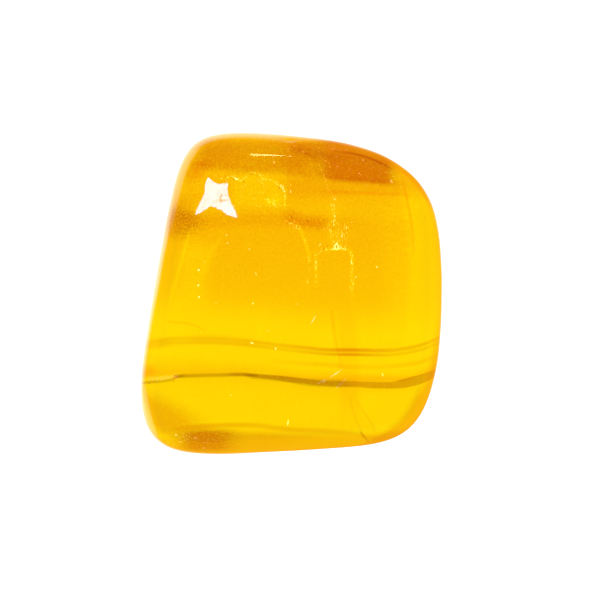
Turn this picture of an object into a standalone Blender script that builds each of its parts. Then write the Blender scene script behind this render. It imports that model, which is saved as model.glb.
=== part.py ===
# Tumbled fluorite: one see-through honey-coloured pebble, worn round from a squarish block.
# Metres, +Z up. The stone lies on its bed face; +Y is its longest way and +Z its thickness.
# The origin is under the middle of the stone, on the bed face.

import bmesh
import bpy
import numpy as np

MM = 0.001

# The block that the wear began from: half its width, length and thickness.
BLOCK_HALF = np.array([14.0, 15.0, 8.5]) * MM
BLOCK_CUTS = 24

# Faces left by the wear: the way each looks (azimuth from +X, then elevation, in degrees)
# and how far it stands from the stone's middle, in millimetres.
WORN_FACES = {
    "front": (70.0, 87.0, 8.5),
    "bed": (-90.0, -90.0, 8.5),
    "left side": (169.9, 0.0, 12.7),
    "lower left corner": (-143.1, 0.0, 19.18),
    "bottom side": (-86.7, 0.0, 14.87),
    "lower right corner": (-29.8, 0.0, 16.72),
    "right side": (1.3, 0.0, 14.39),
    "right shoulder": (47.7, 0.0, 16.26),
    "top side": (84.6, 0.0, 14.98),
    "upper left corner": (128.9, 0.0, 18.17),
    "top front bevel": (88.0, 42.0, 14.2),
    "left front bevel": (175.0, 42.0, 13.2),
    "bottom front bevel": (-87.0, 42.0, 14.6),
    "right front bevel": (0.0, 42.0, 14.0),
    "top bed bevel": (88.0, -42.0, 13.9),
    "left bed bevel": (175.0, -42.0, 13.2),
    "bottom bed bevel": (-87.0, -42.0, 14.6),
    "right bed bevel": (0.0, -42.0, 13.8),
}
# A higher value leaves tighter corners between the worn faces.
WEAR_EXPONENT = 10.0

# Shallow hollows: azimuth and elevation of the middle in degrees, width and depth in millimetres.
HOLLOWS = {
    "chip on the top edge": (92.0, 14.0, 1.4, 0.10),
    "chip on the top right edge": (73.0, 17.0, 1.5, 0.12),
    "flake off the lower left corner": (-139.0, 8.0, 2.4, 0.22),
    "dish in the front": (128.0, 38.0, 3.2, 0.10),
    "dish in the bed": (-30.0, -55.0, 4.0, 0.12),
}
# The flat that the stone rests on is worn this far into the bed.
BED_FLAT_DEPTH = 0.3 * MM


def unit_vectors(azimuth, elevation):
    """Directions, one per row, for angles in degrees."""
    a = np.radians(azimuth)
    e = np.radians(elevation)
    return np.stack([np.cos(e) * np.cos(a), np.cos(e) * np.sin(a), np.sin(e)], axis=-1)


def worn_radius(directions):
    """How far out the worn block reaches along each direction.

    Each face on its own would reach to distance / cos(angle). The faces are blended by
    a power sum of the inverse reaches, which rounds every edge between them."""
    azimuth, elevation, distance = np.array(list(WORN_FACES.values())).T
    normals = unit_vectors(azimuth, elevation)
    inverse_reach = np.maximum(directions @ normals.T / (distance * MM), 0.0)
    return (inverse_reach**WEAR_EXPONENT).sum(axis=1) ** (-1.0 / WEAR_EXPONENT)


def hollowed_radius(directions):
    """The worn radius, less a round bell-shaped hollow at each place in HOLLOWS."""
    radius = worn_radius(directions)
    points = directions * radius[:, None]
    for azimuth, elevation, width, depth in HOLLOWS.values():
        middle = unit_vectors([azimuth], [elevation])
        away = np.linalg.norm(points - middle * worn_radius(middle), axis=1)
        radius = radius - depth * MM * np.exp(-((away / (width * MM)) ** 2))
    return radius


def honey_fluorite():
    """Clear honey-yellow crystal with a tumbled polish."""
    material = bpy.data.materials.new("honey_fluorite")
    material.use_nodes = True
    shader = material.node_tree.nodes["Principled BSDF"]
    shader.inputs["Base Color"].default_value = (0.95, 0.51, 0.02, 1.0)
    shader.inputs["Roughness"].default_value = 0.05
    shader.inputs["Metallic"].default_value = 0.0
    shader.inputs["IOR"].default_value = 1.434
    shader.inputs["Transmission Weight"].default_value = 1.0
    return material


def wear_block(bm):
    """A gridded cube whose points are moved out to the hollowed surface."""
    bmesh.ops.create_cube(bm, size=2.0)
    bmesh.ops.subdivide_edges(bm, edges=bm.edges[:], cuts=BLOCK_CUTS, use_grid_fill=True)
    directions = np.array([vert.co for vert in bm.verts]) * BLOCK_HALF
    directions /= np.linalg.norm(directions, axis=1)[:, None]
    points = directions * hollowed_radius(directions)[:, None]
    for vert, point in zip(bm.verts, points):
        vert.co = point


def flatten_bed(bm):
    """The lowest slice is cut off level and closed with one flat face."""
    lowest = min(vert.co.z for vert in bm.verts)
    cut = bmesh.ops.bisect_plane(
        bm,
        geom=bm.verts[:] + bm.edges[:] + bm.faces[:],
        plane_co=(0.0, 0.0, lowest + BED_FLAT_DEPTH),
        plane_no=(0.0, 0.0, -1.0),
        clear_outer=True,
    )
    rim = [item for item in cut["geom_cut"] if isinstance(item, bmesh.types.BMEdge)]
    bmesh.ops.edgeloop_fill(bm, edges=rim)


def centre_over_bed(bm):
    """The origin goes to the middle of the stone's outline, level with the bed."""
    points = np.array([vert.co for vert in bm.verts])
    low = points.min(axis=0)
    high = points.max(axis=0)
    offset = np.array([(low[0] + high[0]) / 2, (low[1] + high[1]) / 2, low[2]])
    bmesh.ops.translate(bm, verts=bm.verts[:], vec=-offset)


def make_fluorite(collection):
    bm = bmesh.new()
    wear_block(bm)
    flatten_bed(bm)
    centre_over_bed(bm)
    bmesh.ops.recalc_face_normals(bm, faces=bm.faces[:])
    mesh = bpy.data.meshes.new("fluorite")
    bm.to_mesh(mesh)
    bm.free()
    mesh.shade_smooth()
    mesh.materials.append(honey_fluorite())
    stone = bpy.data.objects.new("fluorite", mesh)
    collection.objects.link(stone)
    return stone


def main():
    for old in list(bpy.data.objects):
        bpy.data.objects.remove(old, do_unlink=True)
    collection = bpy.data.collections.new("Tumbled fluorite")
    bpy.context.scene.collection.children.link(collection)
    make_fluorite(collection)


main()
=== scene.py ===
import math

import bpy
import numpy as np
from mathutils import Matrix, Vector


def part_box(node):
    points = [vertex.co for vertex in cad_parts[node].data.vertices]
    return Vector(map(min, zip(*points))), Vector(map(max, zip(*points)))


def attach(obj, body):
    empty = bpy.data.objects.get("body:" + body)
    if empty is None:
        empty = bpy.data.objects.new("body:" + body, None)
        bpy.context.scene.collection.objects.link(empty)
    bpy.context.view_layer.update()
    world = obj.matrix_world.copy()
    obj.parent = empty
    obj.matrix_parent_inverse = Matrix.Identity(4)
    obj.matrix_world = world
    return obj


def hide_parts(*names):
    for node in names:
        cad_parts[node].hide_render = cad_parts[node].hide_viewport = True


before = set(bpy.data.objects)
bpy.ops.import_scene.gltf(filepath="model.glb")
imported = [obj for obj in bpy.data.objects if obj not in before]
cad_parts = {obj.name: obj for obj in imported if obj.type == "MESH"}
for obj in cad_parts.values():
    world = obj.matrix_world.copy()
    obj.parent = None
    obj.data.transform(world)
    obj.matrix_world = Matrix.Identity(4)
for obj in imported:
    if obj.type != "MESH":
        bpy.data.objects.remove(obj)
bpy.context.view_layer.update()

# Tumbled fluorite: one polished, see-through honey pebble. Its growth bands are colour in the stone, with
# painted shade and light worked into them, and its cracks and specks are small flakes under the polish, made
# bright by a painted glow. Shapes are worked out in millimetres.

mm = 0.001
body = "root"
bendOfLight = 1.434  # fluorite's refractive index

# the view
view = {
    "pixel": 0.030 / 321,  # metres of stone in one pixel, level with the stone's middle
    "over": (291.5, 293.5),  # the pixel that lies over the stone's origin
    "side": 600,  # pixels along the picture's side
    "level": 0.008,  # height of the stone's middle
    "distance": 0.5,  # camera above that level
    "sensor": 36.0,
}
pixelMm = view["pixel"] / mm
cameraSpot = np.array([
    (view["side"] / 2 - view["over"][0]) * view["pixel"],
    (view["over"][1] - view["side"] / 2) * view["pixel"],
    view["level"] + view["distance"],
]) / mm

# the stone
stoneShape = {
    # the way each worn face looks (azimuth, elevation) and how far out it stands
    "faces": [
        (70, 87, 8.5), (-90, -90, 8.5),
        (169.9, 0, 12.7), (-143.1, 0, 19.18), (-86.7, 0, 14.87), (-29.8, 0, 16.72),
        (1.3, 0, 14.39), (47.7, 0, 16.26), (84.6, 0, 14.98), (128.9, 0, 18.17),
        (88, 42, 14.2), (175, 42, 13.2), (-87, 42, 14.6), (0, 42, 14),
        (88, -42, 13.9), (175, -42, 13.2), (-87, -42, 14.6), (0, -42, 13.8),
    ],
    "wear": 10.0,  # higher leaves tighter corners
    # azimuth, elevation, width and depth of each shallow hollow
    "hollows": [
        (92, 14, 1.4, 0.10), (73, 17, 1.5, 0.12), (-139, 8, 2.4, 0.22),
        (128, 38, 3.2, 0.10), (-30, -55, 4, 0.12),
        (90, 14, 0.5, 0.05), (79, 17, 0.45, 0.06), (71, 18, 0.5, 0.05),
        (-140, -12, 0.7, 0.08),
    ],
    "bedDepth": 0.3,  # the flat is worn this far into the bed
    "bedEdge": 0.05,  # roundness of the flat's edge
    "swell": 0.010,  # slow waves that the tumbling leaves
    "cells": 108,  # squares along each side of the wrapped cube
}


def unitVectors(azimuth, elevation):
    # x = cos e cos a, y = cos e sin a, z = sin e
    a = np.radians(azimuth)
    e = np.radians(elevation)
    return np.stack([np.cos(e) * np.cos(a), np.cos(e) * np.sin(a), np.sin(e)], axis=-1)


def stoneRadius(rays):
    # reach = (sum over faces of max(0, n.u / distance)^wear)^(-1 / wear),
    # less depth exp(-(gap / width)^2) at each hollow, plus a slow swell of sines
    azimuth, elevation, distance = np.array(stoneShape["faces"]).T
    normals = unitVectors(azimuth, elevation)
    power = stoneShape["wear"]

    def wornReach(u):
        return (np.maximum(u @ normals.T / distance, 0.0) ** power).sum(axis=1) ** (-1.0 / power)

    reach = wornReach(rays)
    spots = rays * reach[:, None]
    for a, e, width, depth in stoneShape["hollows"]:
        middle = unitVectors([a], [e])
        gap = np.linalg.norm(spots - middle * wornReach(middle), axis=1)
        reach = reach - depth * np.exp(-((gap / width) ** 2))
    x, y, z = spots.T
    waves = np.sin(0.9 * x + 1.3 * z) * np.sin(0.7 * y + 0.4) + np.sin(1.7 * y - 1.1 * x + 2.0) * 0.5
    return reach + stoneShape["swell"] * waves


def wrappedCube(cells):
    # each side of a cube is a grid of equal angles, pushed out to the unit ball; doubles are merged
    t = np.tan(np.linspace(-1.0, 1.0, cells + 1) * math.pi / 4)
    u, v = (g.ravel() for g in np.meshgrid(t, t, indexing="ij"))
    one = np.ones_like(u)
    sides = [(one, u, v), (-one, -u, v), (-u, one, v), (u, -one, v), (u, v, one), (-u, v, -one)]
    rays = np.concatenate([np.stack(s, axis=-1) for s in sides])
    rays /= np.linalg.norm(rays, axis=1)[:, None]
    i, j = (g.ravel() for g in np.meshgrid(np.arange(cells), np.arange(cells), indexing="ij"))
    corner = i * (cells + 1) + j
    quad = np.stack([corner, corner + cells + 1, corner + cells + 2, corner + 1], axis=-1)
    quads = np.concatenate([quad + k * (cells + 1) ** 2 for k in range(6)])
    _, keep, back = np.unique(np.round(rays, 6), axis=0, return_index=True, return_inverse=True)
    return rays[keep], back.ravel()[quads]


def flattened(points, low):
    # z' = low + edge * ln(1 + exp((z - low) / edge)), which is a level floor with a small round edge
    edge = stoneShape["bedEdge"]
    points[:, 2] = low + edge * np.logaddexp(0.0, (points[:, 2] - low) / edge)
    return points


rays, stoneQuads = wrappedCube(stoneShape["cells"])
stonePoints = rays * stoneRadius(rays)[:, None]
bedLevel = stonePoints[:, 2].min() + stoneShape["bedDepth"]
stonePoints = flattened(stonePoints, bedLevel)
lowCorner, highCorner = (np.array(c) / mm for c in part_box("fluorite"))
# the middle that the reach is measured from, seated so that the outline and the bed match the frame
heart = (lowCorner + highCorner) / 2 - (stonePoints.min(axis=0) + stonePoints.max(axis=0)) / 2
heart[2] = lowCorner[2] - stonePoints[:, 2].min()
stonePoints = stonePoints + heart
print("stone surface:", len(stonePoints), "points")


def outsideBy(points):
    # distance from the heart less the reach that way: under 0 inside the stone
    arm = points - heart
    length = np.linalg.norm(arm, axis=1)
    return length - stoneRadius(arm / length[:, None])


# the search for a ray's place on the stone: a level clear of it, halvings, step for the surface's slope
search = {"clear": 20.0, "halvings": 60, "step": 0.02}


def lookThrough(pixels):
    # where the ray of each pixel meets the stone's front (halvings between the clear level and the widest
    # one), the way out of the surface there, the ray's way, and its way after it bends:
    # inner = r w + (r c - sqrt(1 - r^2 (1 - c^2))) n, with r = 1 / index and c = -w.n
    pixels = np.atleast_2d(np.asarray(pixels, float))
    aim = np.column_stack([
        (pixels[:, 0] - view["over"][0]) * pixelMm,
        (view["over"][1] - pixels[:, 1]) * pixelMm,
        np.full(len(pixels), view["level"] / mm),
    ])
    way = aim - cameraSpot
    way /= np.linalg.norm(way, axis=1)[:, None]
    near = (search["clear"] - cameraSpot[2]) / way[:, 2]
    far = (heart[2] - cameraSpot[2]) / way[:, 2]
    for _ in range(search["halvings"]):
        between = (near + far) / 2
        out = outsideBy(cameraSpot + way * between[:, None]) > 0
        near = np.where(out, between, near)
        far = np.where(out, far, between)
    hit = cameraSpot + way * far[:, None]
    steps = np.eye(3) * search["step"]
    normal = np.stack([outsideBy(hit + step) - outsideBy(hit - step) for step in steps], axis=-1)
    normal /= np.linalg.norm(normal, axis=1)[:, None]
    facing = -(way * normal).sum(axis=1)
    ratio = 1 / bendOfLight
    inner = ratio * way + (ratio * facing - np.sqrt(1 - ratio**2 * (1 - facing**2)))[:, None] * normal
    return hit, normal, way, inner


def placeUnder(pixels, depth):
    # the place that far along the bent ray, under the front, which shows at each pixel
    hit, _, _, inner = lookThrough(pixels)
    return hit + inner * np.broadcast_to(depth, len(hit))[:, None]


def meshPiece(name, points, quads, material, smooth=True, rides=True):
    # an object at the origin from points in millimetres and rows of corners, carried by the stone's body
    # unless it's part of the studio
    mesh = bpy.data.meshes.new(name)
    mesh.from_pydata((points * mm).tolist(), [], quads.tolist())
    mesh.update()
    if smooth:
        mesh.shade_smooth()
    mesh.materials.append(material)
    piece = bpy.data.objects.new(name, mesh)
    bpy.context.scene.collection.objects.link(piece)
    if rides:
        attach(piece, body)
    return piece


# materials
def mathsMethod(operation, turned=False):
    # a method that adds one Math node, its values turned round for a reflected form
    def method(self, *others):
        values = (*others, self) if turned else (self, *others)
        return self.finish.node("ShaderNodeMath", {"operation": operation}, values)

    return method


class Wire:
    # one socket of a material; sums with it add Math nodes
    def __init__(self, finish, socket):
        self.finish = finish
        self.socket = socket

    __add__ = __radd__ = mathsMethod("ADD")
    __mul__ = __rmul__ = mathsMethod("MULTIPLY")
    __sub__ = mathsMethod("SUBTRACT")
    __rsub__ = mathsMethod("SUBTRACT", turned=True)
    atMost = mathsMethod("MINIMUM")
    atLeast = mathsMethod("MAXIMUM")
    size = mathsMethod("ABSOLUTE")


class Finish:
    # a material under construction
    def __init__(self, name):
        self.material = bpy.data.materials.new(name)
        self.material.use_nodes = True
        self.nodes = self.material.node_tree.nodes
        self.links = self.material.node_tree.links
        self.shader = self.nodes["Principled BSDF"]
        self.output = self.nodes["Material Output"]

    def put(self, socket, value):
        # a link from a wire, or a plain value
        if isinstance(value, Wire):
            self.links.new(value.socket, socket)
        elif isinstance(value, (tuple, list)) and socket.type == "RGBA" and len(value) == 3:
            socket.default_value = (*value, 1.0)
        else:
            socket.default_value = value

    def node(self, kind, settings=None, values=(), give=0):
        # settings go first, then values or links by place or name; gives one output
        made = self.nodes.new(kind)
        for key, value in (settings or {}).items():
            if key == "curve":
                curve = made.mapping.curves[0]
                while len(curve.points) < len(value):
                    curve.points.new(0.5, 0.5)
                for point, at in zip(curve.points, value):
                    point.location = at
                    point.handle_type = "AUTO_CLAMPED"
                made.mapping.update()
            else:
                setattr(made, key, value)
        entries = values.items() if isinstance(values, dict) else enumerate(values)
        for key, value in entries:
            self.put(made.inputs[key], value)
        return Wire(self, made.outputs[give])

    def setup(self, values):
        # inputs of the surface, by name
        for key, value in values.items():
            self.put(self.shader.inputs[key], value)

    def spot(self):
        # x, y and z in millimetres, from Object coordinates
        place = self.node("ShaderNodeTexCoord", give="Object")
        split = self.nodes.new("ShaderNodeSeparateXYZ")
        self.links.new(place.socket, split.inputs[0])
        return [Wire(self, split.outputs[k]) * (1 / mm) for k in range(3)]

    def vector(self, x, y, z):
        # three wires or numbers as one vector
        return self.node("ShaderNodeCombineXYZ", values=(x, y, z))

    def noise(self, place, scale, detail=2.0, rough=0.5):
        # about 0 to 1, with blots 1 / scale millimetres across
        return self.node("ShaderNodeTexNoise", {}, {"Vector": place, "Scale": scale, "Detail": detail,
                                                    "Roughness": rough})

    def ease(self, value, start, end):
        # 0 before start, 1 past end, smooth between
        return self.node("ShaderNodeMapRange", {"interpolation_type": "SMOOTHSTEP"},
                         {"Value": value, "From Min": start, "From Max": end})

    def follow(self, value, start, end, points):
        # a smooth curve through (value, height) points; heights are scaled into 0 to 1 for the curve
        low = min(p[1] for p in points)
        span = max(p[1] for p in points) - low
        share = self.node("ShaderNodeMapRange", {}, {"Value": value, "From Min": start, "From Max": end})
        spots = [((at - start) / (end - start), (height - low) / span) for at, height in points]
        curve = self.node("ShaderNodeFloatCurve", {"curve": spots}, {"Value": share})
        return curve * span + low

    def tint(self, colour, dye, strength, blend="MULTIPLY"):
        # colour times dye (or dye itself for MIX) where strength is 1, colour alone where it is 0
        made = self.nodes.new("ShaderNodeMix")
        made.data_type = "RGBA"
        made.blend_type = blend
        for socket, value in zip([s for s in made.inputs if s.enabled], (strength, colour, dye)):
            self.put(socket, value)
        return Wire(self, [s for s in made.outputs if s.enabled][0])

    def absorb(self, passes, depth):
        # the volume passes that colour over a path of depth millimetres:
        # rate = -ln(colour) / depth, density the greatest rate, colour = 1 - rate / density
        rates = [-math.log(c) / (depth * mm) for c in passes]
        density = max(rates)
        volume = self.nodes.new("ShaderNodeVolumeAbsorption")
        volume.inputs["Color"].default_value = (*[1 - r / density for r in rates], 1.0)
        volume.inputs["Density"].default_value = density
        self.links.new(volume.outputs[0], self.output.inputs["Volume"])


stoneLook = {
    "passes": (0.82, 0.58, 0.0002),  # light left after 17 mm of stone
    "depth": 17.0,
    "polish": (0.012, 0.05),  # roughness, clean and scuffed
    "scuffs": (0.52, 0.72),  # of the scuff noise, where roughness begins and is full
    "bump": (0.014, 0.0006),  # strength, and depth in metres
    "clear": (1.0, 0.985, 0.9),  # tint of the clearest stone
    "bandTint": (0.90, 0.40, 0.35),  # and of the deepest band
    "bandSpan": (130, 456),  # the first and last pixel row of the bands
    # scale, detail and roughness of each kind of noise
    "cloud": (0.35, 3.0, 0.55),
    "speck": (5.0, 3.0, 0.7),
    "fibre": (1.0, 3.0, 0.6),
    "scuff": (1.3, 4.0, 0.6),
    "wave": (0.5, 2.0, 0.5),
    "ripple": (3.5, 3.0, 0.5),
    "fibreShape": (2.2, 0.35, 0.6),  # how close the fibres lie along x, y and z
    "heights": (0.6, 0.05),  # of the waves and the ripples in the polish
    "drift": 7.0,  # pixels that clouds push the bands up and down by
    "clouds": 0.12,  # share of the tint that clouds and fibres add or take
    "speckle": 5.0,  # how strongly specks break up a stain
    "fullest": 1.3,  # the most that a speck makes of it
    "skin": (0.25, 0.9),  # levels over which lines set in: not on the bed, to show once
    "front": (4.5, 8.0),  # levels over which stains set in: on the front half only
    "sagSpan": (240, 330),  # rows over which the sag sets in
    # growth bands across the length, partly painted shade, darker towards the top: pixel row, share of the
    # tint
    "bands": [(130, .45), (172, .52), (186, .56), (198, .56), (212, .48), (230, .54), (256, .5), (276, .46),
        (296, .39), (310, .26), (324, .11), (334, .05), (352, .05), (362, .04), (368, .16), (376, .24),
        (392, .12), (416, .09), (428, .16), (436, .34), (456, .44)],
    # how the lower bands sag: pixel column, pixels down
    "sag": [(140, -1), (208, -4), (250, -3), (275, 0), (308, 4), (336, 6), (380, 6.5), (403, 4), (436, -5),
        (450, -8)],
    # how strongly fine grain shows in the tint: pixel row, share
    "grain": [(130, 1.1), (200, 1), (240, .9), (300, .5), (340, .18), (456, .16)],
}
paintPixel = pixelMm * 0.985  # a pixel level with the stone's front, where the paint is seen
columnSpan = (140, 450)
rowSpan = (120, 480)


def patch(first, second, soft, ends, tint, speckle=0, steep=False):
    # a soft area; each edge is a number where it's level, or else (along, across) points
    return {"edges": (first, second), "soft": soft, "ends": ends, "tint": tint, "speckle": speckle,
            "steep": steep}


def line(points, width, tint, steep=False):
    # a thin mark through (along, across, strength) points
    return {"points": points, "width": width, "tint": tint, "steep": steep}


# Soft stains and painted shade: top and foot row along the columns, the pixels that each edge fades over, the
# columns where it sets in, is full, begins to end and is gone, the dye, and how far specks break it up. A
# steep one has a left and a right column along the rows.
stainsAndShade = {
    # From here to the left shade: growth zones with painted shade in them, the top rim and upper left corner
    # darkened as an inner mirror of a dark room would darken them
    "dark top": patch(100, [(140, 160), (296, 166), (312, 173), (322, 178), (332, 180.6), (350, 182),
        (370, 183.4), (390, 185), (450, 187)], (5, 3.6), (302, 334, 384, 404), (.53, .14, .2), .13),
    "dark top head": patch(140, [(140, 160), (330, 162), (350, 156), (450, 156)], (3, 6),
        (308, 332, 344, 366), (.95, .78, .7), .4),
    "dark top foot": patch([(140, 166), (326, 176.6), (360, 178.4), (390, 182), (450, 186)], [(140, 176),
        (286, 178), (310, 179.4), (330, 181.2), (350, 182), (370, 183.4), (390, 185), (450, 187)], (2, 2.4),
        (318, 332, 372, 390), (1, .82, .7), .2),
    "brown patch by the rim": patch(141, [(140, 153), (300, 153), (316, 160), (450, 160)], (3, 4),
        (286, 297, 318, 334), (.8, .5, .6), .5),
    # Painted shade: the upper right rim darkened, as the long steep paths at a rim would darken it
    "upper right rim": patch(100, [(370, 156), (380, 161), (400, 172), (420, 190), (430, 204), (450, 240)],
        (5, 5), (366, 392, 428, 440), (.88, .5, .4), .2),
    "lighter top": patch([(140, 136), (240, 138), (300, 141), (450, 143)], [(140, 166), (230, 171),
        (240, 172.5), (256, 173), (270, 173), (286, 175), (300, 177), (316, 180), (450, 182)], (5, 5),
        (182, 210, 302, 332), (.7, .38, .2), .35),
    "red shoulder": patch(136, [(140, 160), (270, 164), (284, 168), (296, 168), (312, 160), (450, 156)],
        (4, 5), (250, 290, 302, 330), (.9, .72, .4), .5),
    "under the dark top": patch([(140, 176), (450, 182)], [(140, 196), (330, 196), (360, 194), (450, 196)],
        (3, 6), (276, 296, 396, 410), (.9, .74, .5), .4),
    "upper left corner": patch([(120, 196), (164, 190), (180, 184), (200, 182)], [(120, 240), (160, 212),
        (172, 204), (186, 198), (200, 192)], (5, 7), (154, 166, 172, 186), (.88, .52, .3), .7, steep=True),
    "left shade": patch([(170, 182), (220, 168)], [(170, 202), (200, 194), (220, 192)], (4, 6),
        (190, 206, 214, 228), (.86, .66, .4), .5, steep=True),
    "streak": patch([(140, 208), (200, 214), (240, 214), (286, 214), (310, 218), (340, 216), (450, 214)],
        [(140, 234), (200, 227), (286, 226), (310, 229), (340, 230), (450, 228)], (6, 6),
        (156, 170, 316, 380), (.9, .7, .3), .7),
    "streak middle": patch([(140, 214), (286, 210), (310, 216), (450, 216)], [(140, 226), (286, 224),
        (310, 228), (450, 228)], (5, 5), (278, 292, 316, 332), (.86, .56, .3), .6),
    "streak end": patch([(140, 204), (176, 207), (200, 214), (450, 216)], [(140, 240), (184, 236), (200, 230),
        (450, 226)], (8, 8), (156, 172, 186, 216), (.64, .44, .2), .8),
    "tall shade": patch([(290, 334), (360, 340), (450, 340)], [(290, 352), (360, 358), (450, 362)], (4, 5),
        (300, 330, 402, 424), (1, .86, .6), .1, steep=True),
    "above the olive line": patch(370, [(140, 379), (180, 375), (258, 373), (280, 376)], (3, 3),
        (120, 130, 236, 270), (1, .8, .6), .1),
    "orange spot": patch(366, [(140, 378), (170, 376)], (4, 3), (120, 130, 149, 160), (1, .62, .4), .3),
    "olive shoulder": patch([(270, 372), (325, 376), (400, 376), (420, 372), (440, 366)], [(270, 377),
        (300, 379), (325, 381), (370, 382), (400, 381), (420, 376), (440, 370)], (3, 1.2),
        (268, 290, 470, 480), (1, .74, .5), .2),
    "olive band": patch([(244, 373.4), (250, 373.5), (258, 373.9), (266, 374.4), (275, 375.1), (285, 376.2),
        (295, 377.4), (305, 378.8), (315, 379.9), (325, 380.7), (340, 381.1), (355, 381.3), (370, 381.8),
        (385, 382), (400, 379.6), (412, 376.8), (420, 375), (428, 372.8), (436, 370.5)], [(244, 376.2),
        (250, 376.8), (258, 377.6), (266, 378.5), (275, 379.7), (285, 381.4), (295, 382.6), (305, 383.6),
        (315, 385.1), (325, 385.8), (340, 386.5), (355, 386.9), (370, 388), (385, 388.5), (400, 388.2),
        (412, 386.4), (420, 384.6), (428, 381.6), (436, 378)], (.8, .8), (240, 252, 440, 450), (.57, .33, .2),
        .16),
    "dark half of the olive band": patch([(244, 373), (285, 376), (325, 379), (450, 380)], [(244, 378),
        (285, 382), (325, 387), (450, 388)], (1, 1), (244, 256, 336, 362), (.62, .62, .7), .3),
    "lower left fan": patch([(380, 137), (396, 143), (408, 147), (420, 151), (436, 157)], [(380, 150),
        (396, 162), (408, 180), (420, 196), (436, 206)], (3, 26), (382, 406, 424, 440), (.78, .42, .3), .3,
        steep=True),
    "foot patch": patch([(140, 433), (174, 432), (194, 430.5), (206, 430), (222, 430), (240, 432),
        (260, 435)], [(140, 453), (220, 455), (260, 452)], (4, 7), (162, 196, 214, 258), (.48, .15, .2), .3),
    # Painted shade: the bottom and lower right rims darkened, as the long steep paths at a rim would darken
    # them
    "bottom rim": patch([(140, 432), (250, 433), (300, 435), (350, 435), (400, 432), (450, 430)], 480, (4, 8),
        (215, 262, 400, 420), (.8, .56, .5), .14),
    "lower right rim": patch([(290, 448), (320, 440), (340, 436), (360, 432), (370, 430), (384, 425),
        (392, 420), (400, 415), (408, 410.5), (416, 405), (424, 397), (432, 386), (444, 366)], 480, (7, 4),
        (290, 376, 470, 480), (.8, .45, .4), .14, steep=True),
}
# Thin growth lines: (column, row, strength) along each, its half width and the fade beyond it, in pixels, and
# the dye. A steep one has (row, column, strength).
lines = {
    "upper of the pair": line([(146, 341.6, 0), (154, 340.8, .2), (170, 339.2, .28), (190, 338.6, .28),
        (208, 338.8, .28), (236, 340.2, .3), (250.5, 341.6, .4), (275, 344.6, .5), (308, 348, .7),
        (336, 350, .9), (349, 350, 1), (362, 350.2, .9), (380.5, 350.6, .75), (403, 348.8, .6),
        (419.6, 345.6, .6), (436, 340, .5)], (.4, 3), (.72, .25, .2)),
    "lower of the pair": line([(158, 344, 0), (174, 343, .26), (190, 342.6, .32), (208, 342.8, .32),
        (225, 343.4, .34), (240, 344.4, .38), (253, 345.8, .42), (275, 348.5, .4), (308, 352.2, .55),
        (336, 354.4, .8), (349, 354.5, 1), (362, 354.7, .9), (380.5, 355, .6), (403, 353.2, .45),
        (419.6, 350.2, .45), (436, 344.7, .4)], (.3, 2.4), (.7, .26, .2)),
    "soft left half of the pair": line([(144, 345, .6), (156, 344.4, .7), (168, 342.2, .5), (180, 341, .3),
        (208, 339.4, .5), (240, 341.5, .4), (262, 344.5, .2), (280, 346, 0)], (1.4, 6), (.85, .5, .4)),
    "faint line under the pair": line([(262, 360, 0), (280, 361.6, .4), (300, 363.2, .6), (336, 365.4, .8),
        (360, 367, .7), (380.5, 366.8, .6), (400, 365.2, .8), (414, 363.4, .8), (436, 357, .6)], (.6, 3.2),
        (.95, .66, .4)),
    "olive line": line([(172, 377, 0), (180, 376, .8), (195, 375.6, .8), (210, 375.1, .75), (225, 374.8, .8),
        (240, 374.4, 1), (250, 374.8, .8), (260, 375.8, 0)], (.6, 2.4), (.35, .2, .2)),
    # The crack is real; its dark line is painted shadow in it
    "open crack": line([(143, 383.5, .9), (150, 382.4, .9), (156, 382, .8), (166, 380.8, .7),
        (173, 379.2, .7), (178, 376.8, .7), (184, 375.9, .4)], (.3, 2.2), (.37, .24, .3)),
    "lower line": line([(156, 433, .3), (163.5, 431.6, .4), (174.6, 429.2, .5), (186, 427.6, .7),
        (197, 426.6, .9), (210, 425.9, 1), (222.6, 425.2, 1), (236, 424.8, 1), (253, 425.2, .9),
        (275, 427.8, .8), (297, 430.2, .8), (313.5, 430.8, .8), (336, 432.2, .7), (352, 434, .6),
        (370, 438, .4)], (.6, 3.6), (.82, .56, .3)),
    "top curve": line([(330, 150, 0), (346.6, 152, .8), (360, 154.6, 1), (372, 158.5, 1), (381, 162.5, .9),
        (388, 166.2, .7), (394, 170, 0)], (.4, 1.8), (.55, .18, .3)),
    "line under the dark top": line([(322, 192, 0), (337, 192.3, .8), (370, 193.6, .8), (404, 194.8, .6),
        (416, 196, 0)], (.4, 2.6), (1, .66, .4)),
    "step at the right": line([(174, 401.5, 0), (184, 403.8, .8), (200, 407.4, 1), (221, 411, 1),
        (240, 413, .8), (262, 414, 0)], (.5, 2.2), (1, .72, .5), steep=True),
    "step in the middle": line([(308, 332, 0), (318, 332.6, .9), (335, 334.7, 1), (348, 337, .9),
        (359, 340, .7), (372, 341, 0)], (.4, 2.4), (1, .78, .5), steep=True),
    "seam at the lower right": line([(398, 357, 0), (404, 359, .5), (412, 364, .5), (420, 369.6, .6),
        (430, 375.2, .5), (436, 377, 0)], (.3, 1.8), (.88, .7, .5), steep=True),
    "foot of the seam": line([(431, 360, 0), (434, 362.2, .9), (438, 365, 1), (441, 367.6, .8),
        (445, 370, 0)], (.5, 1.6), (.58, .44, .4), steep=True),
    "second seam": line([(396, 350, 0), (404, 351.4, .5), (413, 354, .5), (424, 358, .5), (432, 361.5, .4),
        (440, 363, 0)], (.3, 1.8), (.88, .72, .5), steep=True),
    "faint left curve": line([(164, 321, 0), (172, 322, .8), (184, 323, 1), (193, 324.8, 1), (201, 328.5, .8),
        (208, 333, 0)], (.4, 2), (1, .78, .6)),
}
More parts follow.
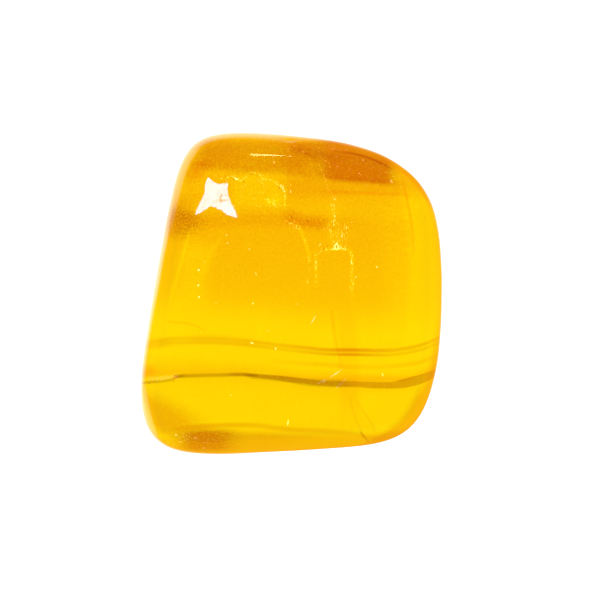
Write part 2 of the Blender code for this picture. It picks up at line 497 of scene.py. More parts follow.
# Lighter places, given in the same way, with the share of the tint that each takes off in the dye's place;
# some are painted light or a painted reflection, as marked.
lifts = {
    "left rim": patch(100, [(160, 186), (180, 173.5), (215, 169), (250, 166), (300, 157.5), (350, 150.5),
        (380, 147), (420, 149)], (2, 2.6), (166, 190, 310, 345), .34, steep=True),
    "healed crack line": line([(224, 179, 0), (229, 177.6, .7), (233, 176.6, .9), (237, 179, 1),
        (241, 181, .8), (247, 176.6, .6), (251, 172.4, .8), (256, 172.6, .7), (260, 175.6, 1),
        (264, 179.4, .9), (271, 180, .7), (277, 184, .6), (281, 185.4, .8), (284, 190, .6), (285, 194, 0)],
        (.3, 1.3), .26),
    "white side of the open crack": line([(143, 381.4, .5), (150, 380, .9), (158, 379.4, 1), (168, 378.2, 1),
        (175, 376, .9), (183, 374.2, 0)], (1, 2.2), .5),
    "upper crack in the dark top": line([(155, 320, 0), (158, 321.5, .8), (161, 327, .9), (166, 330, .8),
        (170, 330.5, 0)], (.3, 1.2), .34, steep=True),
    "lower crack in the dark top": line([(163, 318.5, 0), (168, 320.5, .7), (174, 323.5, .9), (181, 326, .7),
        (185, 327, 0)], (.3, 1.2), .34, steep=True),
    "pale edge of the lower line": line([(160, 432, 0), (168, 429.4, .8), (180, 426.2, 1), (192, 423.6, 1),
        (204, 422.2, 1), (216, 421.4, .8), (230, 421.2, .5), (244, 421.8, 0)], (.4, 1.8), .2),
    "upright of the healed crack": line([(188, 284.6, 0), (194, 285, .8), (204, 285, 1), (210, 285, 0)],
        (.4, 1.6), .3, steep=True),
    "pale patch": patch([(262, 201), (278, 199.5)], [(262, 207), (278, 206)], (1.4, 1.2),
        (262, 269, 276, 281), .26),
    "left inner line": line([(230, 190, 0), (240.5, 187.4, 1), (254, 183.6, 1), (268, 179.6, 1),
        (285.3, 174.8, .7), (306, 169, 0)], (.5, 2.2), .42, steep=True),
    "second left line": line([(226, 226, 0), (236, 222, .7), (252, 212, 1), (270, 204, .7), (296, 194, 0)],
        (.8, 4), .16, steep=True),
    "left glow": patch([(230, 182), (320, 166)], [(230, 224), (260, 212), (290, 206), (320, 204)], (6, 9),
        (236, 256, 296, 322), .24, steep=True),
    "healed crack": patch([(222, 180), (240, 178), (254, 174), (270, 180), (284, 188), (290, 190)],
        [(222, 206), (290, 208)], (3, 3), (226, 240, 283, 288), .2),
    "soft left stroke": line([(252, 315.4, 0), (259, 315.6, .9), (269, 315.7, .8), (276, 316.2, .6),
        (292, 316.6, 0)], (.6, 2), .36, steep=True),
    "soft right stroke": line([(246, 349, 0), (253, 351.4, .8), (262, 352.2, 1), (272, 352, .6),
        (286, 352, .6), (300, 352, 0)], (1, 2.4), .34, steep=True),
    "soft trunk": line([(196, 334, 0), (206, 333.4, .5), (214, 334, .7), (226, 334, 1), (240, 336, .8),
        (250, 338, 0)], (2, 9), .26, steep=True),
    "foot of the second crack": line([(322, 249.4, 0), (328, 249.6, .8), (336, 249.6, 1), (346, 249.8, 1),
        (351, 252, 0)], (.6, 1.8), .4),
    "arc line": line([(224, 299, 0), (230.3, 300.9, .8), (237.2, 303.2, 1), (243.4, 305.9, 1),
        (249.5, 307.5, 1), (254.2, 309, .9), (264, 310.5, 0)], (.5, 2.4), .48, steep=True),
    # Painted light, in this and the next three: the right side and lower right lighter, where light through
    # the stone gathers away from the lamp at the upper left
    "right strip": patch([(180, 400), (200, 405), (221, 409), (240, 411), (330, 412)], 480, (9, 4),
        (186, 204, 312, 350), .6, steep=True),
    "right approach": patch(384, 480, (14, 4), (196, 216, 300, 340), .12, steep=True),
    "right fringe": patch([(180, 426), (330, 428)], 480, (6, 4), (196, 212, 290, 330), .6, steep=True),
    "lower right patch": patch([(392, 356), (400, 358.4), (407, 360.4), (416, 368), (430, 375)], [(392, 416),
        (404, 408), (416, 400), (430, 384)], (1.6, 5), (386, 398, 424, 434), .16, steep=True),
    # Painted reflection: a pale sliver at the lower left edge, where a chipped hollow would mirror the bright
    # room on the left
    "lower left sliver": patch(100, [(380, 142), (396, 145), (404, 148), (412, 150.8), (420, 154), (428, 158),
        (436, 161)], (2, 1.4), (392, 400, 434, 442), .5, steep=True),
}


def maskBetween(f, along, across, span, spec):
    # 1 between the two edges, easing to 0 over "soft" across them and over the outer spans of "ends" along
    places = [f.follow(along, *span, edge) if isinstance(edge, list) else edge for edge in spec["edges"]]
    opens, closed = (f.ease(across - place, -soft, soft) for place, soft in zip(places, spec["soft"]))
    a, b, c, d = spec["ends"]
    return opens * (1 - closed) * f.ease(along, a, b) * (1 - f.ease(along, c, d))


def maskLine(f, along, across, span, spec):
    # strength(along) * (1 - ease(|across - line(along)|)) from the half width out to the fade
    middle = f.follow(along, *span, [(at, place) for at, place, _ in spec["points"]])
    strength = f.follow(along, *span, [(at, much) for at, _, much in spec["points"]])
    core, fade = spec["width"]
    return (1 - f.ease((across - middle).size(), core, core + fade)) * strength.atLeast(0.0)


def maskOf(f, row, column, spec):
    # a steep mark runs along the rows, any other along the columns
    axes = (row, column, rowSpan) if spec["steep"] else (column, row, columnSpan)
    return (maskLine if "points" in spec else maskBetween)(f, *axes, spec)


def stoneFinish():
    # Base Color = clear stone, tinted by the bands' share less the lifts, then by each stain or painted shade
    # and line
    f = Finish("honey fluorite")
    look = stoneLook
    x, y, z = f.spot()
    place = f.vector(x, y, z)
    column = x * (1 / paintPixel) + view["over"][0]
    row = y * (-1 / paintPixel) + view["over"][1]
    skin = f.ease(z, *look["skin"])
    front = f.ease(z, *look["front"])
    cloud = f.noise(place, *look["cloud"]) - 0.5
    speck = f.noise(place, *look["speck"]) - 0.5
    fibres = f.noise(f.vector(*[w * s for w, s in zip((x, y, z), look["fibreShape"])]), *look["fibre"]) - 0.5
    sag = f.follow(column, *columnSpan, look["sag"]) * f.ease(row, *look["sagSpan"])
    bands = f.follow(row - sag + cloud * look["drift"], *look["bandSpan"], look["bands"])
    grain = f.follow(row, *look["bandSpan"], look["grain"])
    share = bands + cloud * look["clouds"] + fibres * look["clouds"] + speck * grain
    for lift in lifts.values():
        share = share - maskOf(f, row, column, lift) * lift["tint"] * (skin if "points" in lift else 1.0)
    colour = f.tint(look["clear"], look["bandTint"], share.atLeast(0.0))
    for stainOrShade in stainsAndShade.values():
        mask = maskOf(f, row, column, stainOrShade) * (speck * (look["speckle"] * stainOrShade["speckle"]) + 1.0)
        colour = f.tint(colour, stainOrShade["tint"], mask.atLeast(0.0).atMost(look["fullest"]) * front)
    for spec in lines.values():
        colour = f.tint(colour, spec["tint"], maskOf(f, row, column, spec) * skin)
    clean, scuffed = look["polish"]
    rough = f.ease(f.noise(place, *look["scuff"]), *look["scuffs"]) * (scuffed - clean) + clean
    waveHigh, rippleHigh = look["heights"]
    height = f.noise(place, *look["wave"]) * waveHigh + f.noise(place, *look["ripple"]) * rippleHigh
    strength, depth = look["bump"]
    bump = f.node("ShaderNodeBump", {}, {"Strength": strength, "Distance": depth, "Height": height})
    f.setup({"Base Color": colour, "Roughness": rough, "IOR": bendOfLight, "Transmission Weight": 1.0,
             "Normal": bump})
    f.absorb(look["passes"], look["depth"])
    return f.material


stone = meshPiece("polished_stone", stonePoints, stoneQuads, stoneFinish())
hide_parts("fluorite")
print("stone dressed")


# healed cracks and specks, made bright by a painted glow
chainPlaces = 400  # places along a chain that flakes are strewn from
flakeLook = {
    "thickness": 0.7,  # of a flake, as a share of its width
    "roughness": 0.4,
    "blots": 2.0,  # blots of tone in a millimetre
    "drift": (0.35, 0.65),  # of the noise, where the tone begins to change and has changed
}


def alongLine(points, count):
    # count places along a chain of points, at equal steps
    points = np.asarray(points, float)
    length = np.concatenate([[0.0], np.cumsum(np.linalg.norm(np.diff(points[:, :2], axis=0), axis=1))])
    at = np.linspace(0.0, length[-1], count)
    return np.stack([np.interp(at, length, points[:, k]) for k in range(points.shape[1])], axis=-1)


def scattered(dust, seed):
    # flakes strewn about a chain: each at a random place along it, with a normal scatter about that place,
    # and half lengths, half widths and leans drawn evenly from their ranges
    along, spread, count, *ranges = dust
    draw = np.random.default_rng(seed)
    chain = alongLine(along, chainPlaces)[draw.integers(0, chainPlaces, count)]
    middles = chain + draw.normal(0.0, 1.0, (count, 2)) * spread
    sizes = [draw.uniform(*span, count) for span in ranges]
    return np.column_stack([middles, *sizes])


def grainPiece(name, rows, depth, material):
    # many small double pyramids: each has four points round its waist, one above and one below;
    # a row holds column, row, half length, half width (in pixels) and lean (in degrees)
    rows = np.asarray(rows, float)
    middles = placeUnder(rows[:, :2], depth)
    lengths = rows[:, 2:3] * pixelMm
    widths = rows[:, 3:4] * pixelMm
    ways = np.radians(rows[:, 4])
    side = np.stack([np.cos(ways), np.sin(ways), np.zeros_like(ways)], axis=-1)
    across = np.stack([-np.sin(ways), np.cos(ways), np.zeros_like(ways)], axis=-1)
    up = np.array([0.0, 0.0, flakeLook["thickness"]]) * widths
    corners = [side * lengths, across * widths, -side * lengths, -across * widths, up, -up]
    points = np.stack([middles + c for c in corners], axis=1).reshape(-1, 3)
    one = np.array([(0, 1, 4), (1, 2, 4), (2, 3, 4), (3, 0, 4), (1, 0, 5), (2, 1, 5), (3, 2, 5), (0, 3, 5)])
    triangles = (one[None] + 6 * np.arange(len(middles))[:, None, None]).reshape(-1, 3)
    return meshPiece(name, points, triangles, material, smooth=False)


def glowingFlakeFinish(name, colour, far, glow):
    # films and specks with a painted glow: their Emission stands in for the light they catch; tone drifts
    # from colour to colour * far
    f = Finish(name)
    tone = f.tint(colour, far, f.ease(f.noise(f.vector(*f.spot()), flakeLook["blots"]), *flakeLook["drift"]))
    f.setup({"Base Color": tone, "Roughness": flakeLook["roughness"], "Specular IOR Level": 0.0,
             "Emission Color": tone, "Emission Strength": glow})
    return f.material


# A flake, bright or faint: column, row, half length and half width in pixels, lean in degrees.
# Dust: the chain of pixels that it lies along, spread about that, count, then the ranges of half length, half
# width and lean. The depth is in millimetres under the front.
cracks = {
    "healed_crack": {
        "flakes": [(236.2, 178.6, 1.6, .7, -35), (237.6, 179.4, 1, .6, -30), (234.4, 177.6, .9, .4, -30),
            (281, 185.2, 1, .6, -20), (283.2, 188.2, 1.4, .6, -65), (284.2, 191.2, 1.2, .5, -75),
            (290.6, 191.6, 1.8, .6, 82), (281.8, 187, .9, .5, 0), (235.6, 179.4, .9, .5, 10),
            (238.6, 178.6, .6, .5, 0), (280.2, 186.4, .8, .4, 30), (283.6, 186.4, .7, .5, 70),
            (282.6, 190, .9, .5, -80)],
        "faint": [(228, 177.6, 1.2, .45, 20), (232, 176.4, 1.4, .5, 15), (240.4, 180.8, 1, .5, -30),
            (243.8, 178.4, 1.2, .3, 40), (246.8, 176.6, 1.2, .3, 40), (251.3, 172.3, 1, .4, 50),
            (254, 172.6, 1, .4, 0), (258.4, 173.6, 1.1, .5, -35), (260.4, 175.8, 1.3, .5, -50),
            (262.6, 178.4, 1.2, .4, -45), (265.6, 179.6, 1.1, .35, -10), (269.8, 179.8, 1.4, .35, 0),
            (274.2, 181.6, 1, .4, -35), (276.8, 184.6, .9, .4, -35), (290.6, 184.8, 1, .35, 90),
            (221.6, 178.8, .9, .4, 0), (216, 175.6, .8, .4, 20)],
        "dust": [([(222, 179), (233, 176), (241, 181), (251, 172), (257, 172.6), (264, 179.5), (271, 180),
             (282, 186), (284.5, 192)], (1.3, 1.2), 26, (.4, 1), (.2, .4), (-80, 80)),
            ([(258, 180.5), (264, 182), (262, 185)], (2, 1.2), 8, (.4, .9), (.25, .45), (0, 180)),
            ([(284.8, 193), (285.2, 199), (285, 207)], (.6, .8), 9, (.8, 1.8), (.2, .35), (80, 100)),
            ([(268, 200), (271, 203), (277, 205)], (2.4, 1.6), 16, (.6, 1.4), (.25, .5), (-10, 60)),
            ([(258, 206), (272, 206.6), (284, 206.4)], (2.2, .5), 8, (.6, 1.4), (.2, .35), (-10, 20)),
            ([(230, 188), (250, 184), (270, 190), (250, 200), (235, 200)], (7, 5), 30, (.4, 1.2), (.15, .25),
             (30, 110))],
        "depth": 1.6,
    },
    "second_crack": {
        "flakes": [(334.6, 199.4, 1.2, .4, 85), (334, 205.2, 1, .35, 90), (335, 216.2, 1.5, .45, 85),
            (333.6, 221.4, 1.6, .5, 75), (334, 224.6, 1.2, .6, 90), (346.4, 227.6, 2, .45, 88),
            (342, 236, 1.8, .45, 86), (320, 244.8, 1.4, .55, 78), (335.2, 245.4, 2.8, .7, 68),
            (337.2, 243.6, 2, .7, -75), (338.6, 246.6, 2.2, .6, -60), (334.6, 248.8, 1.6, .6, 15),
            (338, 249, 1.8, .6, 0), (341.2, 247.2, 1, .5, 60), (343, 248.8, 1.2, .5, -20),
            (345.4, 249.6, .9, .5, -30), (316, 262, 1.9, .45, 88), (351.6, 262.6, 2.2, .5, -82),
            (335.2, 247.8, 1.2, .8, 80), (337.9, 246.6, 1.6, .8, -80), (336.4, 244.2, 1.4, .7, 90),
            (333, 249.2, 1.2, .6, 0), (340, 248.8, 1, .6, 30), (336.2, 249.2, 1.4, .6, 0)],
        "faint": [(332.4, 209.6, 1, .4, 70), (334.2, 213.2, 1, .4, -60), (329, 228.8, 1.2, .45, 60),
            (331.6, 231.2, .9, .4, 90), (341, 225.6, 1.1, .5, 0), (341.4, 231, 1.2, .4, 88),
            (342.6, 240.4, 1, .4, 88), (337, 236.4, 1.6, .3, 88), (331, 249.6, 2, .35, 0),
            (326.6, 249.6, 1.8, .3, 0), (350.6, 252.6, 1.2, .5, -10), (352.6, 255.6, 1.2, .45, 80),
            (352.2, 269, 1.6, .4, 90), (352, 280, 1.4, .3, 88), (321.8, 248.4, 1, .4, 70),
            (320.8, 251.2, 1.4, .45, 55), (318.6, 253.6, 1.4, .45, 40), (315.8, 255.2, 1.2, .45, 15),
            (315.8, 268.4, 2.2, .4, 90), (316.1, 276.2, 2, .3, -85), (320, 156, 1.3, .35, -75),
            (321.4, 159.4, 1.3, .35, -70), (325.6, 161.2, 1.6, .4, -10), (328.6, 163.6, 1.2, .4, -50),
            (330, 167.4, 1.3, .35, -80), (319.4, 165, 1.5, .35, -75), (321.2, 170, 1.5, .4, -60),
            (323.8, 175, 1.7, .4, -65), (325.8, 180.4, 1.6, .35, -75), (326.8, 185, 1.2, .35, -85)],
        "dust": [([(334.4, 196), (333.6, 206), (333.4, 213), (335, 220), (334, 227)], (1.8, 1.4), 26,
             (.6, 1.8), (.18, .32), (70, 105)),
            ([(327, 224), (330, 234), (336, 226), (341, 232), (347, 228), (344, 238), (334, 240), (346, 244)],
             (2.4, 3.4), 40, (.8, 2.2), (.18, .3), (80, 98)),
            ([(333, 249), (336.4, 243), (340, 247), (345, 249)], (1.2, 1), 16, (.5, 1.2), (.25, .5),
             (0, 180)),
            ([(323, 249.6), (334, 249.8), (347, 249.8)], (.9, .4), 8, (.5, 1.2), (.2, .35), (-20, 20)),
            ([(349, 251), (352, 256), (352.4, 268), (351.6, 290)], (1.2, 1), 14, (.8, 2.4), (.18, .3),
             (84, 96)),
            ([(315.8, 258), (315.6, 272), (316.2, 284)], (.6, 1), 6, (.9, 2.4), (.18, .28), (86, 94)),
            ([(323, 164), (325, 172), (326.4, 182), (330, 190), (334, 197)], (1.4, 1), 18, (.4, 1), (.18, .3),
             (30, 120))],
        "depth": 1.8,
    },
    "crack_arc": {
        "flakes": [(296.2, 226.6, 1.3, .5, 80), (290.4, 223.4, 1, .35, 75)],
        "faint": [(294.6, 221.6, 1.4, .5, 80), (293.6, 227.8, 1, .5, 40), (298.4, 228.6, 1.2, .45, 20),
            (299.8, 226.4, 1, .4, 70), (308, 257.4, 1, .45, 60), (309.4, 260.4, 1, .4, 90),
            (309.4, 269.5, 1.6, .3, 85), (307.2, 281.6, 1.6, .4, 70)],
        "dust": [([(287, 222), (292, 225), (298, 227.5)], (1.6, 2), 16, (.5, 1.4), (.25, .45), (60, 100)),
            ([(300.5, 230), (304.8, 241), (308.8, 254), (309.6, 264), (307, 284)], (.9, .8), 9, (.7, 1.8),
             (.14, .22), (100, 116))],
        "depth": 2.2,
    },
    "rim_scratches": {
        "flakes": [(332.2, 148.7, 2, .45, 12), (338.4, 150.2, 1.4, .45, -12), (346, 146.4, 1, .4, -20),
            (319.3, 147.7, 1, .4, 60), (313.7, 148.7, .9, .35, 80), (335, 146.8, 1.2, .3, 0)],
        "faint": [(326, 144.6, 1.6, .3, -5), (331, 142.6, 1.4, .3, -8), (342, 148.6, 1.2, .3, -20),
            (309, 144, 1.2, .3, 30), (300, 142, 1.2, .3, 0), (297, 149.4, 1, .35, 60),
            (289, 143.6, 1, .35, 40), (287.6, 150.6, 1.2, .35, 80)],
        "dust": [([(287, 139), (300, 143), (318, 144), (334, 147), (350, 149)], (4, 2.4), 44, (.4, 1),
             (.2, .35), (0, 180))],
        "depth": 0.2,
        "colours": {"flakes": (1, .7, .42), "dust": (.95, .5, .16)},
    },
    "left_cracks": {
        "flakes": [(149, 379.9, 1.6, .3, 8), (157, 379.2, 1.4, .3, 4), (173.6, 377, 1.8, .3, 8)],
        "faint": [(165, 378.9, 1.6, .4, 6), (153, 381, 2, .4, 6), (161, 380.4, 2, .4, 6)],
        "dust": [([(147, 378.6), (156, 378.4), (166, 377.6), (178, 376.4)], (.8, 1.2), 110, (.5, 1.4),
             (.25, .45), (-10, 25))],
        "depth": 0.25,
        "colours": {"flakes": (.85, .52, .14), "dust": (.8, .46, .075)},
    },
}
# colour and painted glow of the bright flakes, and of the faint flakes and the dust
crackLook = {"flakes": ((1.0, 0.88, 0.70), 1.35), "dust": ((1.0, 0.75, 0.16), 1.12), "far": (1.0, 0.90, 0.6)}
dustSeeds = 10  # step between the seeds of a crack's dust
for seed, (name, crack) in enumerate(cracks.items()):
    strewnRows = [scattered(dust, seed + dustSeeds * k) for k, dust in enumerate(crack["dust"])]
    for part, rows in (("flakes", crack["flakes"]), ("dust", np.vstack([crack["faint"], *strewnRows]))):
        colour, glow = crackLook[part]
        colour = crack.get("colours", {}).get(part, colour)
        finish = glowingFlakeFinish(name.replace("_", " ") + " " + part, colour, crackLook["far"], glow)
        grainPiece(name + "_" + part, rows, crack["depth"], finish)
print("cracks:", len(cracks))


def scratchRows(width, *scratches):
    # a straight scratch as one long flake, from its two ends
    ends = np.array(scratches)
    run = (ends[:, 1] - ends[:, 0]) * np.array([1, -1])
    long, wide = np.linalg.norm(run, axis=1) / 2, np.full(len(ends), width / 2)
    return np.column_stack([ends.mean(axis=1), long, wide, np.degrees(np.arctan2(run[:, 1], run[:, 0]))])


# specks and fresh scratches, in the same rows, with the colour and how far it drifts; the bright specks glow
# as painted sparkle, and the scratches' pale frosting glows with painted light too
specks = {
    "specks": {
        "rows": [(198.7, 270, 1.6, .8, 60), (198.3, 285.3, 1.3, .8, 60), (199, 297, 1.3, .8, 100),
            (226.4, 235, .8, .8, 0), (227.6, 243, .9, .6, 0), (252.8, 303.4, 1.6, .7, 50),
            (256, 274, 2, .4, 110), (249.4, 249, .9, .5, 0), (252, 343, 2.2, .8, -20),
            (275.6, 348.6, 1.6, .8, 90), (377, 267, 1.1, .8, 90), (356, 277, .9, .7, 0),
            (274, 162.3, 1.6, 1, 80), (391.4, 181.4, 2.2, 1, -50), (363, 160, 1.6, .8, 60),
            (359, 173.4, 1, .7, 0), (303.5, 151.6, 1.2, .8, 90), (337.4, 166.5, 1.2, .8, 0),
            (382.6, 374.6, 2.2, .7, 105), (288, 422.5, 3.6, .8, 82), (176, 435, 1.2, 1, 0),
            (180, 442, 1.2, .9, 40), (195, 438, 1.2, .9, 0), (174, 445, 1.2, .9, 0), (204, 448, 2, 1.1, 40),
            (334, 149, 2.8, .5, 15), (346.6, 149.6, 1.4, .7, 0), (321, 137.5, 1.2, .7, 0),
            (287, 135.5, 1.4, .7, 0), (291, 141, 1.1, .8, 30), (294, 146, 1.4, .6, 60), (289, 149, 1, .6, 0),
            (204, 262, .5, .4, 0), (268, 331, .5, .4, 0), (231, 395, .5, .4, 0), (216, 303, .4, .4, 0),
            (297.5, 304, .5, .4, 40)],
        "dust": [([(300, 148), (330, 152), (372, 168), (392, 176), (350, 172), (316, 160)], (9, 5), 60,
             (.3, .7), (.15, .3), (0, 180)),
            ([(168, 440), (182, 436), (200, 440), (212, 444)], (6, 3.5), 34, (.3, .8), (.25, .5), (0, 180))],
        "seed": 31, "depth": 1.0, "colours": ((1.0, 0.90, 0.40), (1.0, 0.80, 0.45)), "glow": 1.3,
    },
    # Dark specks and pits, partly painted shadows beside the bright flakes of the healed cracks
    "dark_specks_and_shadows": {
        "rows": [(231.6, 177, 1, .5, 0), (233.6, 179.4, 1.2, .4, -40), (243.5, 181.6, 1.4, .3, 30),
            (251, 174.4, .8, .4, 60), (279.5, 187.6, 1.1, .6, 60), (282, 190.2, 1, .4, -60),
            (336.7, 246.2, .6, .4, 90), (323.5, 248.4, 1.2, .4, 40), (327.6, 246, .9, .4, 60),
            (332.6, 229, .8, .35, 90), (300, 149, 1.6, .5, 20), (306, 154, 1.2, .5, 60),
            (290, 144, 1.2, .6, 40), (337, 151.5, 2.6, .4, 5), (366, 160.5, .8, .5, 60),
            (307.5, 221, 2.2, .35, -60), (291.6, 217.5, 2, .35, -70), (340, 142.4, 2.4, .3, -8),
            (303, 139.5, 1.4, .3, -8), (199.5, 268.2, .8, .4, 50), (197.2, 283.6, .8, .4, 50),
            (174, 381.4, 1.2, .3, 20), (149, 383.4, 2.4, .35, 5), (346, 143.6, 1.6, .35, -20),
            (341.4, 143, 1, .3, 0), (325, 141.2, 1.4, .3, -8), (296.5, 138.6, 1.3, .35, 0),
            (292, 147, 1.4, .5, 30), (298.4, 147.8, 1.4, .4, -20), (303, 145, 1.6, .4, 10),
            (312, 150.6, 1.2, .4, 60)],
        "depth": 0.7, "colours": ((0.42, 0.14, 0.01), (0.8, 0.7, 1.0)), "glow": 0.9,
    },
    "scratches": {
        "rows": scratchRows(0.9, ((316.3, 315), (310.2, 324.6)), ((342.5, 369.3), (329, 378)),
            ((327.5, 378.8), (315.7, 384.4)), ((347, 378), (335.8, 388.3)), ((326.4, 380.4), (322.4, 383.2))),
        "depth": 0.1, "colours": ((1.0, 0.94, 0.45), (1.0, 0.9, 0.7)), "glow": 0.66,
    },
}
for name, kind in specks.items():
    strewn = [scattered(dust, kind["seed"] + k) for k, dust in enumerate(kind.get("dust", []))]
    finish = glowingFlakeFinish(name.replace("_", " "), *kind["colours"], kind["glow"])
    grainPiece(name, np.vstack([kind["rows"], *strewn]), kind["depth"], finish)
print("specks and scratches made")


# floor, lights and camera
studio = {
    "floorSide": 6.0,
    "floorLevel": -0.02,
    "glow": 1.30,  # what the floor gives to eyes and to light that comes through the stone
    "air": 1.1,  # what the air gives to them
    # What the polish mirrors, painted into the floor's glow for mirrored rays: an amber pool of painted light
    # round the stone, where light through it would fall, and a painted white lit area on its left and above
    # it; the rest of the room gives little.
    "mirrored": 0.02,
    "amber": {"colour": (1.0, 0.42, 0.012), "reach": 40.0, "fade": (0.5, 1.2)},
    "white": (1.2, 1.08, 0.85),
    "near": {"middle": (-1.7, 3.4), "half": (16.3, 19.4), "fade": (0.6, 1.8)},
    # it fades out towards the upper right and the bottom: the way, and the distance in millimetres that way
    "far": [((0.6, 0.8), (13.0, 19.5)), ((0.35, -0.94), (11.5, 15.5))],
    # middle, reach, where it fades (as squares of the reach) and strength
    "corners": [((-20.0, 17.0), 7.0, (0.4, 2.2), 1.0), ((-19.0, -13.0), 5.0, (0.5, 1.0), 0.4)],
    "through": 1.3,  # what the lamps add where they are seen through the stone
}


def glowingFinish(name, seen, mirrored):
    # light given off, with no shade of its own: the colour seen gives to eyes and to light through the
    # stone, and mirrored, a function of the finish, gives what a bounce off a surface picks up
    f = Finish(name)
    glow = f.nodes.new("ShaderNodeEmission")
    path = f.node("ShaderNodeLightPath", give="Is Reflection Ray")
    f.put(glow.inputs["Color"], f.tint(seen, mirrored(f), path, "MIX"))
    f.links.new(glow.outputs[0], f.output.inputs["Surface"])
    return f.material


def squares(x, y, middle, reach):
    # ((x - a) / r)^2 and ((y - b) / s)^2
    aside = (x - middle[0]) * (1 / reach[0])
    above = (y - middle[1]) * (1 / reach[1])
    return aside * aside, above * above


def nearGlow(f):
    # 1 where (dx / a)^4 + (dy / b)^4 is small and in a circle off each left corner, easing to 0 outside
    x, y, _ = f.spot()
    near = studio["near"]
    a, b = squares(x, y, near["middle"], near["half"])
    box = 1 - f.ease(a * a + b * b, *near["fade"])
    for (turnX, turnY), span in studio["far"]:
        box = box * (1 - f.ease(x * turnX + y * turnY, *span))
    for middle, reach, fade, much in studio["corners"]:
        a, b = squares(x, y, middle, (reach, reach))
        box = box.atLeast((1 - f.ease(a + b, *fade)) * much)
    return box


def mirroredFloor(f):
    # painted pools of light, seen only in the polish: dim far off, amber within reach of the stone, white
    # where nearGlow is 1
    x, y, _ = f.spot()
    amber = studio["amber"]
    a, b = squares(x, y, (0, 0), (amber["reach"], amber["reach"]))
    close = 1 - f.ease(a + b, *amber["fade"])
    dim = (studio["mirrored"],) * 3
    return f.tint(f.tint(dim, amber["colour"], close, "MIX"), studio["white"], nearGlow(f), "MIX")


half = studio["floorSide"] / 2 / mm
floorCorners = [(-half, -half), (half, -half), (half, half), (-half, half)]
floorPoints = np.array([(*corner, studio["floorLevel"]) for corner in floorCorners])
floorFinish = glowingFinish("pale floor", (studio["glow"],) * 3, mirroredFloor)
floor = meshPiece("floor", floorPoints, np.array([(0, 1, 2, 3)]), floorFinish, smooth=False, rides=False)

world = bpy.data.worlds.new("studio air")
bpy.context.scene.world = world
world.use_nodes = True
air = world.node_tree
background = air.nodes["Background"]
background.inputs["Color"].default_value = (1.0, 1.0, 1.0, 1.0)
path = air.nodes.new("ShaderNodeLightPath")
strength = air.nodes.new("ShaderNodeMix")
strength.inputs["A"].default_value = studio["air"]
strength.inputs["B"].default_value = studio["mirrored"]
air.links.new(path.outputs["Is Reflection Ray"], strength.inputs["Factor"])
air.links.new(strength.outputs[0], background.inputs["Strength"])

# lamps: the outline, in pixels, of the glint that each leaves on the front, or its middle and half heights
lampDistance = 500.0
stripPlaces = 60  # places along a strip's middle
# where a lamp's noise begins to dull it or put it out and has done so, the noise's detail for each, and the
# tint of what is out
flecks = {"dull": (0.44, 0.60), "out": (0.60, 0.66), "details": (2.0, 1.0), "outTint": (0.3, 0.25, 0.2)}
lamps = {
    "softbox": {
        "outline": [(207.9, 177.2), (209.2, 177), (210.4, 179.6), (213.1, 181.6), (216, 183.4), (219, 184.3),
            (221.6, 183.2), (224.6, 182.2), (227.6, 182.4), (228.7, 183.8), (228, 186.2), (227.3, 188.2),
            (227.7, 191.1), (228.8, 197.2), (230, 200.3), (231.9, 203.8), (233.8, 206.5), (235.4, 209.5),
            (236.9, 213.4), (237.5, 216.8), (236.2, 217.6), (233.1, 216.7), (228.5, 214.8), (225.4, 213.4),
            (223.5, 211.1), (222.7, 209.2), (219.2, 208.2), (215.4, 207.1), (210.8, 205.5), (207.7, 206.3),
            (204.6, 208.4), (201.5, 211.1), (198.8, 212.5), (196.2, 213.5), (195.5, 211.8), (196.5, 208.8),
            (198.5, 204.5), (201.5, 199.5), (205, 191.8), (204.9, 189.6), (204.2, 187), (205.4, 183.8),
            (206.4, 180.6)],
        "colour": (1, .61, 1.02), "strength": 28, "blots": 6, "specks": 22, "dull": (.84, .86, .86),
    },
    "strip": {
        "middle": [(249.6, 155.1, .2), (251.6, 154.9, .9), (256, 154.6, 1.3), (263, 154.6, 1.3),
            (270, 154.8, 1.4), (277, 154.8, 1.3), (282, 154.9, .9), (286, 155.1, .2)],
        "colour": (1, .82, .32), "strength": 18, "blots": 9, "specks": 26, "dull": (.9, .8, .7),
    },
}


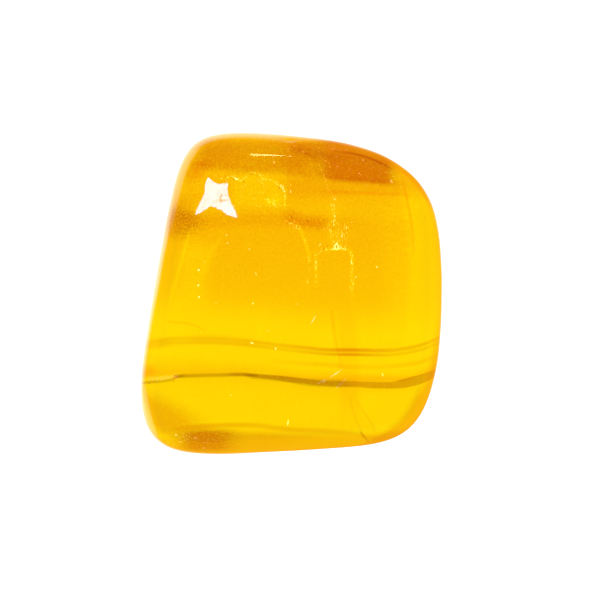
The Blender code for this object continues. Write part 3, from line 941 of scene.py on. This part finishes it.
def lampPanel(name, lamp):
    # each corner of the glint is carried along its mirrored ray: r = d - 2 (d.n) n
    if "middle" in lamp:
        chain = alongLine(lamp["middle"], stripPlaces)
        rise = np.column_stack([np.zeros(len(chain)), chain[:, 2]])
        outline = np.vstack([chain[:, :2] - rise, chain[:, :2] + rise])
        turn = np.arange(len(chain) - 1)
        faces = np.stack([turn, turn + 1, turn + 1 + len(chain), turn + len(chain)], axis=-1)
    else:
        outline = np.array(lamp["outline"])
        faces = np.arange(len(outline))[None]
    hit, normal, way, _ = lookThrough(outline)
    mirrored = way - 2 * (way * normal).sum(axis=1)[:, None] * normal
    corners = hit + mirrored * lampDistance
    sides = [float(s) for s in np.ptp(corners, axis=0) + 1.0]  # a millimetre more, so that none is nil
    print(name, "panel:", [round(s) for s in sides], "mm")

    def flecked(f):
        # the lamp's light, duller in some blots and nearly out in a few specks
        place = f.vector(*[w * (1 / s) for w, s in zip(f.spot(), sides)])
        blot, speck = (f.noise(place, lamp[kind], detail)
                       for kind, detail in zip(("blots", "specks"), flecks["details"]))
        dull = f.ease(blot, *flecks["dull"])
        out = f.ease(speck, *flecks["out"])
        tone = f.tint([c * lamp["strength"] for c in lamp["colour"]], lamp["dull"], dull)
        return f.tint(tone, flecks["outTint"], out)

    finish = glowingFinish(name + " light", [c * studio["through"] for c in lamp["colour"]], flecked)
    panel = meshPiece(name, corners, faces, finish, smooth=False, rides=False)


for name, lamp in lamps.items():
    lampPanel(name, lamp)

camera = bpy.data.cameras.new("camera")
camera.sensor_width = view["sensor"]
camera.lens = view["sensor"] * view["distance"] / (view["side"] * view["pixel"])
camera.clip_start = 0.01
cameraObject = bpy.data.objects.new("camera", camera)
cameraObject.location = (cameraSpot * mm).tolist()
bpy.context.scene.collection.objects.link(cameraObject)
bpy.context.scene.camera = cameraObject

bpy.context.scene.view_settings.view_transform = "Standard"
cycles = bpy.context.scene.cycles
cycles.max_bounces = 32
cycles.transmission_bounces = 32
cycles.glossy_bounces = 16
cycles.transparent_max_bounces = 32
cycles.sample_clamp_indirect = 10.0
print("studio ready")
